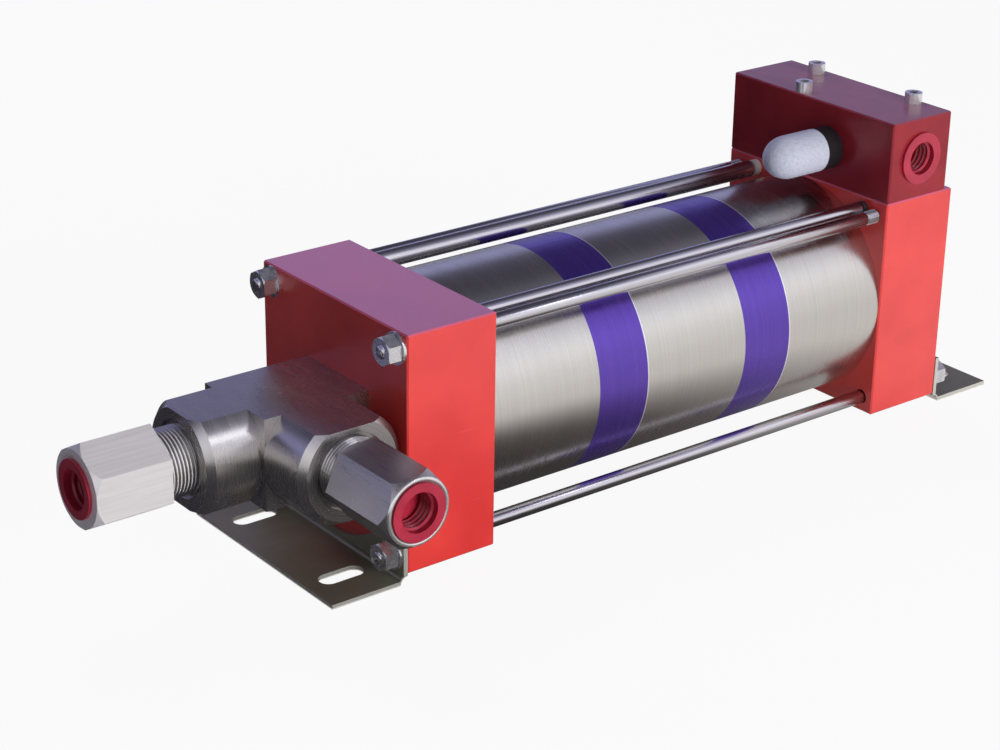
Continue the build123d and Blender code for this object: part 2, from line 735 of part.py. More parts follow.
# Valve block with the spool bore along Y, the air port and the exhaust port
block_front = rear_inner
spool_start = -spool_bore_near
exhaust_z = valve_z - silencer_drop
with BuildPart() as valve_block:
    with BuildSketch(Plane.XY.offset(cap_top)):
        with Locations((valve_x, 0)):
            Rectangle(valve_depth, block_side)
    extrude(amount=valve_height)
    chamfer(valve_block.edges(), valve_edge)
    bores = [(near_face, 0), (near_face, fitting_port / 2), (near_face + air_port_depth, fitting_port / 2),
             (near_face + air_port_depth, air_drill / 2), (spool_start, air_drill / 2),
             (spool_start, spool_bore / 2 + fit_clearance), (far_face, spool_bore / 2 + fit_clearance),
             (far_face, 0)]
    revolve(outline(bores, spool_profile), axis=spool_axis, mode=Mode.SUBTRACT)
    with BuildSketch(across_x(block_front, silencer_y, exhaust_z - axis_z)):
        Circle(silencer_stub / 2 + fit_clearance)
    extrude(amount=valve_depth / 2 - spool_bore / 4, mode=Mode.SUBTRACT)
    with BuildSketch(Plane.XY.offset(cap_top)):
        with Locations(*[(rear_inner + x, y) for x, y in screw_places]):
            Circle(screw_thread / 2 + hole_clearance)
    extrude(amount=valve_height, mode=Mode.SUBTRACT)
finish(valve_block, "valve_block")

with BuildPart() as valve_block_screws:
    with BuildSketch(Plane.XY.offset(cap_top - screw_grip)):
        with Locations(*[(rear_inner + x, y) for x, y in screw_places]):
            Circle(screw_thread / 2)
    extrude(amount=valve_height + screw_grip)
    with BuildSketch(Plane.XY.offset(valve_top)):
        with Locations(*[(rear_inner + x, y) for x, y in screw_places]):
            Circle(screw_head / 2)
    extrude(amount=screw_head_height)
    with BuildSketch(Plane.XY.offset(valve_top + screw_head_height)):
        with Locations(*[(rear_inner + x, y) for x, y in screw_places]):
            RegularPolygon(screw_socket / 2, 6, major_radius=False)
    extrude(amount=-screw_socket_depth, mode=Mode.SUBTRACT)
finish(valve_block_screws, "valve_block_screws")

# Spool liner with three belts of holes, the spool, its rings and the end plug
liner_bore = spool_bore - 2 * sleeve_wall
spool_diameter = liner_bore - 2 * running_clearance
spool_near = spool_start + spool_travel + stop_gap
spool_far = spool_sleeve_far - spool_travel - stop_gap
spool_middle = (spool_near + spool_far) / 2
land_length = (spool_far - spool_near - 2 * spool_groove) / 3
groove_starts = [spool_near + land_length, spool_near + 2 * land_length + spool_groove]
belts = [start + spool_groove / 2 for start in groove_starts] + [spool_middle]
with BuildPart() as spool_liner:
    liner = ring_points(spool_start, spool_sleeve_far, spool_bore, liner_bore)
    revolve(outline(liner, spool_profile), axis=spool_axis)
    for belt in belts:
        for number in range(belt_holes // 2):
            angle = radians(number * 360 / belt_holes)
            direction = Vector(cos(angle), 0, sin(angle))
            drill = Plane(origin=(valve_x, belt, valve_z), z_dir=direction)
            with BuildSketch(drill):
                Circle(belt_hole / 2)
            extrude(amount=spool_bore / 2, both=True, mode=Mode.SUBTRACT)
finish(spool_liner, "spool_liner")

ring_floor = spool_diameter - 2 * spool_ring
ring_places = [spool_near + land_length / 2, spool_middle, spool_far - land_length / 2]
with BuildPart() as spool:
    revolve(outline(ring_points(spool_near, spool_far, spool_diameter), spool_profile), axis=spool_axis)
    for start in groove_starts:
        groove = ring_points(start, start + spool_groove, liner_bore, spool_diameter - 2 * sleeve_wall)
        revolve(outline(groove, spool_profile), axis=spool_axis, mode=Mode.SUBTRACT)
    for middle in ring_places:
        groove = ring_points(middle - spool_ring, middle + spool_ring, liner_bore, ring_floor)
        revolve(outline(groove, spool_profile), axis=spool_axis, mode=Mode.SUBTRACT)
finish(spool, "spool")

with BuildPart() as spool_seals:
    for middle in ring_places:
        band = ring_points(middle - spool_ring + fit_clearance, middle + spool_ring - fit_clearance,
                           liner_bore - 2 * seal_clearance, ring_floor)
        revolve(outline(band, spool_profile), axis=spool_axis)
finish(spool_seals, "spool_seals")

with BuildPart() as spool_end_plug:
    revolve(outline(ring_points(spool_sleeve_far, far_face, spool_bore), spool_profile), axis=spool_axis)
    with BuildSketch(across_y(far_face, valve_x, valve_z)):
        RegularPolygon(cap_socket / 2, 6, major_radius=False)
    extrude(amount=-cap_socket / 2, mode=Mode.SUBTRACT)
finish(spool_end_plug, "spool_end_plug")

# Exhaust silencer: black threaded base and white porous cap
silencer_axis = Axis((0, silencer_y, exhaust_z), (1, 0, 0))
silencer_profile = Plane(origin=(0, silencer_y, exhaust_z), x_dir=(1, 0, 0), z_dir=(0, -1, 0))
base_front = block_front - silencer_base_length
tip_x = base_front - silencer_length
with BuildPart() as silencer_base:
    base = [(base_front, 0), (base_front, silencer_diameter / 2), (block_front, silencer_diameter / 2),
            (block_front, silencer_stub / 2), (block_front + silencer_stub_length, silencer_stub / 2),
            (block_front + silencer_stub_length, 0)]
    revolve(outline(base, silencer_profile), axis=silencer_axis)
    bore = ring_points(base_front, block_front + silencer_stub_length, silencer_stub / 2)
    revolve(outline(bore, silencer_profile), axis=silencer_axis, mode=Mode.SUBTRACT)
finish(silencer_base, "silencer_base")

with BuildPart() as silencer_cap:
    radius = silencer_diameter / 2
    hollow = radius - silencer_wall
    with BuildSketch(silencer_profile):
        with BuildLine():
            Line((base_front, radius), (tip_x + silencer_dome, radius))
            EllipticalCenterArc((tip_x + silencer_dome, 0), silencer_dome, radius, 90, arc_size=90)
            Line((tip_x, 0), (tip_x + silencer_wall, 0))
            EllipticalCenterArc((tip_x + silencer_dome, 0), silencer_dome - silencer_wall, hollow, 90,
                                arc_size=90)
            Line((tip_x + silencer_dome, hollow), (base_front, hollow))
            Line((base_front, hollow), (base_front, radius))
        make_face()
    revolve(axis=silencer_axis)
finish(silencer_cap, "silencer_cap")


def plug(face, flow, flange, hole, plane, axis):
    """Flanged plastic cup pushed into a port whose mouth is at face."""
    flange_face = face + flow * plug_flange_height
    floor = face - flow * plug_depth
    shape = [(flange_face, hole / 2), (flange_face, flange / 2), (face, flange / 2),
             (face, fitting_port / 2 - fit_clearance), (floor, fitting_port / 2 - fit_clearance), (floor, 0),
             (floor + flow * plug_floor, 0), (floor + flow * plug_floor, hole / 2)]
    with BuildPart() as cup:
        revolve(outline(shape, plane), axis=axis)
    return cup


# Transit plugs in the suction, delivery and air ports
with BuildPart() as inlet_plug:
    add(plug(inlet_hex_end, -1, plug_flange, plug_hole, pump_profile, pump_axis).part)
finish(inlet_plug, "inlet_plug")
with BuildPart() as outlet_plug:
    add(plug(outlet_hex_end, -1, plug_flange, plug_hole, outlet_profile, outlet_axis).part)
finish(outlet_plug, "outlet_plug")
with BuildPart() as air_inlet_plug:
    add(plug(near_face, -1, air_plug_flange, air_plug_hole, spool_profile, spool_axis).part)
finish(air_inlet_plug, "air_inlet_plug")

# Air tubes with reduced ends in the cap sockets, and the collars on their rear ends
tube_shapes = (
    ("transfer_tube", transfer_y, transfer_z, transfer_tube, transfer_end, transfer_bore,
     transfer_collar_length),
    ("pilot_tube", pilot_tube_y, pilot_tube_z, pilot_tube, pilot_end, pilot_bore,
     pilot_collar_length),
)
for node, y, z, outside, end, bore, collar_length in tube_shapes:
    with BuildPart() as tube:
        with BuildSketch(across_x(front_inner, y, z)):
            Circle(outside / 2)
        extrude(amount=stack_length - collar_length - collar_gap)
        with BuildSketch(across_x(front_inner - tube_socket, y, z)):
            Circle(end / 2)
        extrude(amount=stack_length + 2 * tube_socket)
        with BuildSketch(across_x(front_inner - tube_socket, y, z)):
            Circle(bore / 2)
        extrude(amount=stack_length + 2 * tube_socket, mode=Mode.SUBTRACT)
    finish(tube, node)

collar_shapes = (
    ("transfer_tube_collar", transfer_y, transfer_z, transfer_end, transfer_collar, transfer_collar_length),
    ("pilot_tube_collar", pilot_tube_y, pilot_tube_z, pilot_end, pilot_collar, pilot_collar_length),
)
for node, y, z, tube_end, outside, length in collar_shapes:
    with BuildPart() as collar:
        with BuildSketch(across_x(rear_inner, y, z)):
            Circle(outside / 2)
            Circle(tube_end / 2 + fit_clearance, mode=Mode.SUBTRACT)
        extrude(amount=-length)
    finish(collar, node)

# Tie rods with reduced threads. The upper two screw into the rear cap, and the lower two pass
# through it and through its foot bracket, with washers and nuts at both ends.
rod_reach = sheet + tie_washer_height + tie_nut_height + tie_stub
with BuildPart() as tie_rods:
    for y, z in tie_places:
        rod_plane = Plane(origin=(0, y, axis_z + z), x_dir=(1, 0, 0), z_dir=(0, -1, 0))
        thread = tie_thread / 2
        shank = tie_shank / 2
        tip = tie_stub / 3
        first = front_face - rod_reach
        last = rear_face + rod_reach if z < 0 else rear_inner + tie_grip
        shank_end = rear_inner - tie_thread_shown
        steps = [(first, 0), (first, thread - tip), (first + tip, thread), (front_inner, thread),
                 (front_inner, shank), (shank_end, shank), (shank_end, thread),
                 (last - tip, thread), (last, thread - tip), (last, 0)]
        revolve(outline(steps, rod_plane), axis=Axis((0, y, axis_z + z), (1, 0, 0)))
finish(tie_rods, "tie_rods")


def seat_offset(z):
    """The lower rods also clamp a foot bracket."""
    return sheet if z < 0 else 0.0


nut_places = [(y, z, front_face, -1) for y, z in tie_places]
nut_places += [(y, z, rear_face, 1) for y, z in tie_places if z < 0]
with BuildPart() as tie_rod_washers:
    for y, z, face, side in nut_places:
        with BuildSketch(across_x(face + side * seat_offset(z), y, z)):
            Circle(tie_washer_outside / 2)
            Circle(tie_shank / 2 + hole_clearance, mode=Mode.SUBTRACT)
        extrude(amount=side * tie_washer_height)
finish(tie_rod_washers, "tie_rod_washers")

nuts = []
for y, z, face, side in nut_places:
    start = face + side * (seat_offset(z) + tie_washer_height)
    end = start + side * tie_nut_height
    nut_profile = Plane(origin=(0, y, axis_z + z), x_dir=(1, 0, 0), z_dir=(0, -1, 0))
    with BuildPart() as nut:
        with BuildSketch(across_x(start, y, z)):
            RegularPolygon(tie_nut_flats / 2, 6, major_radius=False, rotation=30)
            Circle(tie_thread / 2 + fit_clearance, mode=Mode.SUBTRACT)
        extrude(amount=side * tie_nut_height)
        envelope = nut_cone(min(start, end), max(start, end), tie_nut_flats, "both")
        revolve(outline(envelope, nut_profile), axis=Axis((0, y, axis_z + z), (1, 0, 0)),
                mode=Mode.INTERSECT)
    nuts.append(nut.part)
with BuildPart() as tie_rod_nuts:
    add(nuts)
finish(tie_rod_nuts, "tie_rod_nuts")


def bracket(face, side):
    """Bent sheet foot: a slotted sole and an upright leg cut away round the pump axis."""
    bend_outside = bend_radius + sheet
    with BuildPart() as foot:
        with BuildSketch(Plane(origin=(0, near_face, 0), x_dir=(1, 0, 0), z_dir=(0, -1, 0))):
            with BuildLine():
                Polyline((face, ear_height), (face, bend_outside))
                RadiusArc((face, bend_outside), (face + side * bend_outside, 0), side * bend_outside)
                Polyline((face + side * bend_outside, 0), (face + side * foot_length, 0),
                         (face + side * foot_length, sheet), (face + side * bend_outside, sheet))
                RadiusArc((face + side * bend_outside, sheet), (face + side * sheet, bend_outside),
                          -side * bend_radius)
                Polyline((face + side * sheet, bend_outside), (face + side * sheet, ear_height),
                         (face, ear_height))
            make_face()
        extrude(amount=-block_side)
        with BuildSketch(across_x(face)):
            Circle(arc_radius)
        extrude(amount=side * sheet, mode=Mode.SUBTRACT)
        with BuildSketch(across_x(face)):
            with Locations((-tie_half, -tie_half), (tie_half, -tie_half)):
                Circle(tie_shank / 2 + hole_clearance)
        extrude(amount=side * sheet, mode=Mode.SUBTRACT)
        with BuildSketch(Plane.XY):
            with Locations((face + side * slot_overhang, -slot_spacing_y / 2),
                           (face + side * slot_overhang, slot_spacing_y / 2)):
                SlotOverall(slot_length, slot_width)
        extrude(amount=sheet, mode=Mode.SUBTRACT)
    return foot


with BuildPart() as front_bracket:
    add(bracket(front_face, -1).part)
finish(front_bracket, "front_bracket")
with BuildPart() as rear_bracket:
    add(bracket(rear_face, 1).part)
finish(rear_bracket, "rear_bracket")

# Pilot pins in their guides, each held out by a spring
pin_axis = Axis((0, pin_y, axis_z + pin_z), (1, 0, 0))
pin_profile = Plane(origin=(0, pin_y, axis_z + pin_z), x_dir=(1, 0, 0), z_dir=(0, -1, 0))
pin_fit = pin_diameter + 2 * running_clearance
pin_pocket = pin_collar + 2 * running_clearance
pilots = {"front": (front_spigot_end, 1), "rear": (rear_spigot_end, -1)}

with BuildPart() as pilot_guides:
    for mouth, inward in pilots.values():
        guide_end = mouth - inward * pin_guide_length
        pocket_floor = guide_end + inward * pin_guide_lip
        pocket_mouth = mouth - inward * pin_guide_lip
        shape = [(mouth, pin_fit / 2), (mouth, pin_guide / 2), (guide_end, pin_guide / 2), (guide_end, 0),
                 (pocket_floor, 0), (pocket_floor, pin_pocket / 2), (pocket_mouth, pin_pocket / 2),
                 (pocket_mouth, pin_fit / 2)]
        revolve(outline(shape, pin_profile), axis=pin_axis)
finish(pilot_guides, "pilot_guides")

for name, (mouth, inward) in pilots.items():
    tip = mouth + inward * pin_shown
    bevel = pin_shown / 3
    lip_end = mouth - inward * pin_guide_lip
    collar_end = lip_end - inward * pin_collar_length
    floor_start = mouth - inward * (pin_guide_length - pin_guide_lip)
    tail_end = floor_start + inward * (pin_travel + stop_gap)
    with BuildPart() as pin:
        shape = [(tip, 0), (tip, pin_diameter / 2 - bevel), (tip - inward * bevel, pin_diameter / 2),
                 (lip_end, pin_diameter / 2), (lip_end, pin_collar / 2), (collar_end, pin_collar / 2),
                 (collar_end, pin_tail / 2), (tail_end, pin_tail / 2), (tail_end, 0)]
        revolve(outline(shape, pin_profile), axis=pin_axis)
    finish(pin, f"{name}_pilot_pin")
    coil_radius = (pin_collar - pin_spring_wire) / 2 - spring_gap
    coil_start = (collar_end - inward * (pin_spring_wire / 2 + spring_gap), pin_y, axis_z + pin_z)
    coil_length = abs(collar_end - floor_start) - 2 * spring_gap - pin_spring_wire
    with BuildPart() as spring:
        with BuildLine() as coil:
            Helix(coil_length / pin_spring_turns, coil_length, coil_radius, coil_start, (-inward, 0, 0))
        with BuildSketch(Plane(origin=coil.line @ 0, z_dir=coil.line % 0)):
            Circle(pin_spring_wire / 2)
        sweep(is_frenet=True)
    finish(spring, f"{name}_pilot_spring")

print("piston travel each way", round(piston_travel, 3))
print("slot spacing along X", round(caps_length + 2 * slot_overhang, 3))
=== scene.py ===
"""Air-driven liquid pump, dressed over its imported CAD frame, in metres."""

from math import pi, radians

import bmesh
import bpy
from mathutils import Matrix, Vector


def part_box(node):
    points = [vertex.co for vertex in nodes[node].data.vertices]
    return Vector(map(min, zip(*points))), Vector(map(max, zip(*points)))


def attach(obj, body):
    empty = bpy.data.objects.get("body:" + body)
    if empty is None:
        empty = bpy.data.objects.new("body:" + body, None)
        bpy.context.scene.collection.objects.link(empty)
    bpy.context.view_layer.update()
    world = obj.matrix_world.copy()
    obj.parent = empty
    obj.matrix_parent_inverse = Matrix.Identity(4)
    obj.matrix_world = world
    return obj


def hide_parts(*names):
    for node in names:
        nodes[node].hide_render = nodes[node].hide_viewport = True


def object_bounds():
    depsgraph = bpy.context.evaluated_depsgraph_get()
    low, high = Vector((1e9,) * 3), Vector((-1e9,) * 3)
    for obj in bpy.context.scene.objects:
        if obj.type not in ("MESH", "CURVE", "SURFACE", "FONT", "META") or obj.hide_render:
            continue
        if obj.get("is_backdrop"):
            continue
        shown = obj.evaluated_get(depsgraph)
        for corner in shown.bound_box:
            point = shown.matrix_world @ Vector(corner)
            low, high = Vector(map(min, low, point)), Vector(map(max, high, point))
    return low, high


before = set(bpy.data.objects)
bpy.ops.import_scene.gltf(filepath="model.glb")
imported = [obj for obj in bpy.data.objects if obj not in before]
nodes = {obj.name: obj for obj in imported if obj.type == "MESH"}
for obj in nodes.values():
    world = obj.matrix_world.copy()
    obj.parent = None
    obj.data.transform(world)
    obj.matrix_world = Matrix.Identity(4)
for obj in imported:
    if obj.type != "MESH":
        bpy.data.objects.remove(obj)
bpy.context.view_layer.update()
mm = 0.001

# Camera at the photograph's place, seen from the front left and a little above. The long lens
# stands for a camera about 1.4 m away, and it looks straight through the middle of the picture.
camera = bpy.data.objects.new("camera", bpy.data.cameras.new("camera"))
bpy.context.scene.collection.objects.link(camera)
camera.data.lens = 84.766
camera.data.sensor_width = 36
right = Vector((0.791454, -0.611079, 0.013553))
back = Vector((-0.565684, -0.723881, 0.394974))
up = back.cross(right).normalized()
camera.matrix_world = (Matrix.Translation((-0.806424, -0.923198, 0.568986))
                       @ Matrix((right, up, back)).transposed().to_4x4())
bpy.context.scene.camera = camera
bpy.context.scene.view_settings.view_transform = "Standard"

# Studio: a pale floor that the feet stand on, and a surround that is white at the horizon and
# falls through a violet grey to a dark ceiling. Polished metal shows these as its bands.
world = bpy.data.worlds.new("studio")
bpy.context.scene.world = world
world.use_nodes = True
tree = world.node_tree
tree.nodes.clear()


def shader_node(tree, kind, inputs=(), **settings):
    """One node in a material; each input is a number, a colour or another node's output."""
    made = tree.nodes.new(kind)
    for name, value in settings.items():
        setattr(made, name, value)
    for place, value in dict(inputs).items():
        if isinstance(value, bpy.types.NodeSocket):
            tree.links.new(value, made.inputs[place])
        else:
            made.inputs[place].default_value = value
    return made


def colour_ramp(tree, driver, *stops):
    """Colour that runs through the stops, each a place from 0 to 1 and a colour."""
    ramp = shader_node(tree, "ShaderNodeValToRGB", {0: driver})
    band = ramp.color_ramp
    band.elements[0].position, band.elements[0].color = stops[0][0], (*stops[0][1], 1)
    band.elements[1].position, band.elements[1].color = stops[-1][0], (*stops[-1][1], 1)
    for position, colour in stops[1:-1]:
        band.elements.new(position).color = (*colour, 1)
    return ramp.outputs[0]


def rays_that_see(tree):
    """1 for the rays that show the surround itself: camera, glossy and transmission rays."""
    rays = shader_node(tree, "ShaderNodeLightPath")
    both = shader_node(tree, "ShaderNodeMath", {0: rays.outputs["Is Camera Ray"],
                                                1: rays.outputs["Is Glossy Ray"]}, operation="MAXIMUM")
    return shader_node(tree, "ShaderNodeMath", {0: both.outputs[0], 1: rays.outputs["Is Transmission Ray"]},
                       operation="MAXIMUM").outputs[0]


place = shader_node(tree, "ShaderNodeTexCoord")
looking = shader_node(tree, "ShaderNodeSeparateXYZ", {0: place.outputs["Generated"]})
near_sky = colour_ramp(tree, looking.outputs["Z"], (0.10, (0.64, 0.64, 0.65)), (0.30, (0.82, 0.82, 0.87)),
                       (0.42, (0.78, 0.79, 0.86)), (0.54, (0.56, 0.56, 0.64)),
                       (0.66, (0.38, 0.37, 0.47)), (0.80, (0.15, 0.15, 0.20)), (0.95, (0.05, 0.05, 0.07)))
far_sky = colour_ramp(tree, looking.outputs["Z"], (0.00, (0.16, 0.18, 0.30)), (0.18, (0.27, 0.28, 0.48)),
                      (0.36, (0.27, 0.27, 0.48)), (0.46, (0.055, 0.052, 0.075)),
                      (0.95, (0.04, 0.04, 0.055)))
side = shader_node(tree, "ShaderNodeMapRange", {"Value": looking.outputs["Y"], "From Min": -0.15,
                                                "From Max": 0.25, "To Min": 0.0, "To Max": 1.0})
sky = shader_node(tree, "ShaderNodeMix", {"Factor": side.outputs[0], 6: near_sky, 7: far_sky},
                  data_type="RGBA")
rays = shader_node(tree, "ShaderNodeLightPath")
seen = shader_node(tree, "ShaderNodeMix", {"Factor": rays.outputs["Is Camera Ray"], 6: sky.outputs[2],
                                           7: (0.67, 0.67, 0.67, 1)}, data_type="RGBA")
surround = shader_node(tree, "ShaderNodeBackground", {0: seen.outputs[2], 1: 1.45})
ambient = shader_node(tree, "ShaderNodeBackground", {0: (0.95, 0.93, 1, 1), 1: 0.12})
both = shader_node(tree, "ShaderNodeMixShader", {0: rays_that_see(tree), 1: ambient.outputs[0],
                                                 2: surround.outputs[0]})
shader_node(tree, "ShaderNodeOutputWorld", {0: both.outputs[0]})


def studio_sheet(name, size, spot, turn):
    """A flat staged sheet, given its two sides, its middle and its turn."""
    mesh = bpy.data.meshes.new(name)
    shape = bmesh.new()
    bmesh.ops.create_grid(shape, x_segments=1, y_segments=1, size=0.5)
    bmesh.ops.scale(shape, vec=(*size, 1), verts=shape.verts)
    bmesh.ops.rotate(shape, matrix=Matrix.Rotation(turn, 3, "X"), verts=shape.verts)
    bmesh.ops.translate(shape, vec=spot, verts=shape.verts)
    shape.to_mesh(mesh)
    shape.free()
    sheet = bpy.data.objects.new(name, mesh)
    bpy.context.scene.collection.objects.link(sheet)
    sheet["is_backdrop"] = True
    return sheet


floor_paper = bpy.data.materials.new("floor_paper")
floor_paper.use_nodes = True
tree = floor_paper.node_tree
tree.nodes.clear()
part = shader_node(tree, "ShaderNodeMath", {0: rays_that_see(tree), 1: 0.93}, operation="MULTIPLY")
paper = shader_node(tree, "ShaderNodeBsdfDiffuse", {"Color": (0.80, 0.80, 0.81, 1)})
glow = shader_node(tree, "ShaderNodeEmission", {"Color": (1, 1, 1, 1), "Strength": 1.0})
both = shader_node(tree, "ShaderNodeMixShader", {0: part.outputs[0], 1: paper.outputs[0],
                                                 2: glow.outputs[0]})
shader_node(tree, "ShaderNodeOutputMaterial", {0: both.outputs[0]})
studio_floor = studio_sheet("floor", (12, 12), (0, 0, 0), 0)
studio_floor.data.materials.append(floor_paper)

# Painted reflection: a glowing sheet lies flat round the feet, dark near them and paling towards
# the near side. Only reflections see it.
painted_reflection_sheet = bpy.data.materials.new("painted_reflection_sheet")
painted_reflection_sheet.use_nodes = True
tree = painted_reflection_sheet.node_tree
tree.nodes.clear()
place = shader_node(tree, "ShaderNodeTexCoord")
across = shader_node(tree, "ShaderNodeVectorMath", {0: place.outputs["Object"], 1: (0.8, -1, 0)},
                     operation="DOT_PRODUCT")
nearness = shader_node(tree, "ShaderNodeMapRange", {"Value": across.outputs["Value"], "From Min": -0.1,
                                                    "From Max": 0.5, "To Min": 0.0, "To Max": 1.0})
painted_reflection_colour = colour_ramp(tree, nearness.outputs[0], (0.0, (0.040, 0.036, 0.045)),
                           (0.167, (0.055, 0.050, 0.050)), (0.30, (0.11, 0.10, 0.10)),
                           (0.375, (0.27, 0.255, 0.25)), (0.49, (0.55, 0.53, 0.53)),
                           (0.62, (0.82, 0.80, 0.79)), (1.0, (0.82, 0.81, 0.82)))
painted_reflection_glow = shader_node(tree, "ShaderNodeEmission", {"Color": painted_reflection_colour, "Strength": 1.0})
shader_node(tree, "ShaderNodeOutputMaterial", {0: painted_reflection_glow.outputs[0]})
for flag in (studio_sheet("painted_reflection_flag", (3.2, 4.0), (0, 1.0, 0.6 * mm), 0),):
    flag.data.materials.append(painted_reflection_sheet)
    flag.visible_camera = False
    flag.visible_diffuse = False
    flag.visible_shadow = False
    flag.visible_transmission = False

lamps = (
    ("near_lamp", (0.05, -1.78, 0.42), 1.0, 30, (1, 0.985, 0.96)),
    ("top_lamp", (0.1, 1.1, 1.35), 1.0, 10.0, (0.78, 0.70, 1)),
    ("window_lamp", (0.27, -0.79, 0.83), 0.3, 0.6, (0.94, 0.95, 1)),
)
for name, spot, size, power, tint in lamps:
    lamp = bpy.data.objects.new(name, bpy.data.lights.new(name, "AREA"))
    lamp.data.shape = "DISK"
    lamp.data.size = size
    lamp.data.energy = power
    lamp.data.color = tint
    lamp.location = spot
    lamp.rotation_euler = (Vector((0, 0, 0.1)) - Vector(spot)).to_track_quat("-Z", "Y").to_euler()
    bpy.context.scene.collection.objects.link(lamp)
bpy.data.objects["near_lamp"].visible_glossy = False
bpy.data.objects["top_lamp"].visible_glossy = False
bpy.data.objects["window_lamp"].visible_diffuse = False


# End caps: square blocks of aluminium, milled, blasted and anodised a bright satin red. Fine
# diagonal rub marks show on their broad faces, with a painted violet sheen on their tops and a painted
# highlight along their corners.
def new_finish(name, colour, metallic, roughness):
    """A material with its shader set; returns the material, its tree and its shader."""
    finish = bpy.data.materials.new(name)
    finish.use_nodes = True
    shader = finish.node_tree.nodes["Principled BSDF"]
    shader.inputs["Base Color"].default_value = (*colour, 1)
    shader.inputs["Metallic"].default_value = metallic
    shader.inputs["Roughness"].default_value = roughness
    return finish, finish.node_tree, shader


def stretched_noise(tree, scale, stretch, turn=(0, 0, 0), detail=3.0):
    """Noise on the piece's own coordinates, stretched into grain, scratches or rings."""
    place = shader_node(tree, "ShaderNodeTexCoord")
    laid = shader_node(tree, "ShaderNodeMapping",
                       {"Vector": place.outputs["Object"], "Rotation": turn, "Scale": stretch})
    return shader_node(tree, "ShaderNodeTexNoise",
                       {"Vector": laid.outputs[0], "Scale": scale, "Detail": detail}).outputs[0]


def span(tree, driver, start, end, low, high):
    """A number that goes from low to high as the driver goes from start to end."""
    return shader_node(tree, "ShaderNodeMapRange", {"Value": driver, "From Min": start, "From Max": end,
                                                    "To Min": low, "To Max": high}).outputs[0]


def laid_over(tree, under, over, share):
    """One colour laid over another by a share from 0 to 1."""
    return shader_node(tree, "ShaderNodeMix", {"Factor": share, 6: under, 7: over},
                       data_type="RGBA").outputs[2]


def raise_bump(tree, shader, driver, strength, distance):
    """Bump from a pattern, with its distance in metres."""
    bump = shader_node(tree, "ShaderNodeBump", {"Height": driver, "Strength": strength,
                                                "Distance": distance})
    tree.links.new(bump.outputs[0], shader.inputs["Normal"])


def worn_and_highlit_corners(tree, low, high, width):
    """1 within a short width of a block's corners, 0 on its broad faces."""
    place = shader_node(tree, "ShaderNodeTexCoord")
    middle, half = (Vector(low) + Vector(high)) / 2, (Vector(high) - Vector(low)) / 2
    off = shader_node(tree, "ShaderNodeVectorMath", {0: place.outputs["Object"], 1: middle},
                      operation="SUBTRACT")
    off = shader_node(tree, "ShaderNodeVectorMath", {0: off.outputs[0]}, operation="ABSOLUTE")
    off = shader_node(tree, "ShaderNodeVectorMath", {0: off.outputs[0], 1: half - Vector((width,) * 3)},
                      operation="SUBTRACT")
    off = shader_node(tree, "ShaderNodeVectorMath", {0: off.outputs[0], "Scale": 1 / width},
                      operation="SCALE")
    off = shader_node(tree, "ShaderNodeVectorMath", {0: off.outputs[0], 1: (0, 0, 0)}, operation="MAXIMUM")
    off = shader_node(tree, "ShaderNodeVectorMath", {0: off.outputs[0], 1: (1, 1, 1)}, operation="MINIMUM")
    faces = shader_node(tree, "ShaderNodeVectorMath", {0: off.outputs[0], 1: (1, 1, 1)},
                        operation="DOT_PRODUCT")
    return shader_node(tree, "ShaderNodeMath", {0: faces.outputs["Value"], 1: 1.0}, operation="SUBTRACT",
                       use_clamp=True).outputs[0]


def painted_top_sheen(tree, most):
    """Share of a painted sheen on the faces that look up, from the surface's own normal."""
    place = shader_node(tree, "ShaderNodeTexCoord")
    looks = shader_node(tree, "ShaderNodeSeparateXYZ", {0: place.outputs["Normal"]})
    return span(tree, looks.outputs["Z"], 0.5, 0.95, 0.0, most)


def dress(finish, *names):
    """Give CAD nodes a finish in every slot they have."""
    for name in names:
        slots = nodes[name].data.materials
        if not slots:
            slots.append(finish)
        for number in range(len(slots)):
            slots[number] = finish


for node, low, high in (("front_cap", (-193 * mm, -65 * mm, 5.5 * mm), (-138 * mm, 65 * mm, 135.5 * mm)),
                        ("rear_cap", (140 * mm, -65 * mm, 5.5 * mm), (193 * mm, 65 * mm, 135.5 * mm))):
    cap_red, tree, shader = new_finish(node + "_red", (0.74, 0.042, 0.038), 0.0, 0.40)
    shader.inputs["Coat Weight"].default_value = 0.9
    shader.inputs["Coat Roughness"].default_value = 0.24
    shader.inputs["Coat IOR"].default_value = 1.45
    shader.inputs["IOR"].default_value = 1.45
    cloud = stretched_noise(tree, 22, (1, 1, 1))
    surface_tone = colour_ramp(tree, cloud, (0.35, (0.68, 0.036, 0.034)), (0.68, (0.80, 0.052, 0.045)))
    scratches = stretched_noise(tree, 26, (1.2, 26, 26), (radians(38), radians(30), radians(48)), 4)
    scratches_and_sheen = laid_over(tree, surface_tone, (0.86, 0.22, 0.17, 1), span(tree, scratches, 0.70, 0.78, 0, 0.35))
    # Painted sheen: pale violet laid over the faces that look up.
    scratches_and_sheen = laid_over(tree, scratches_and_sheen, (0.60, 0.44, 0.95, 1), painted_top_sheen(tree, 0.42))
    # Painted highlight: pale red laid along the block's corners.
    corner_wear_and_highlight = shader_node(tree, "ShaderNodeMath",
                       {0: worn_and_highlit_corners(tree, low, high, 0.45 * mm), 1: 0.6}, operation="MULTIPLY")
    highlit_corners = laid_over(tree, scratches_and_sheen, (0.90, 0.42, 0.36, 1), corner_wear_and_highlight.outputs[0])
    tree.links.new(highlit_corners, shader.inputs["Base Color"])
    blasting = stretched_noise(tree, 700, (1, 1, 1), detail=2)
    tree.links.new(span(tree, blasting, 0.3, 0.7, 0.34, 0.48), shader.inputs["Roughness"])
    raise_bump(tree, shader, blasting, 0.2, 0.00008)
    dress(cap_red, node)

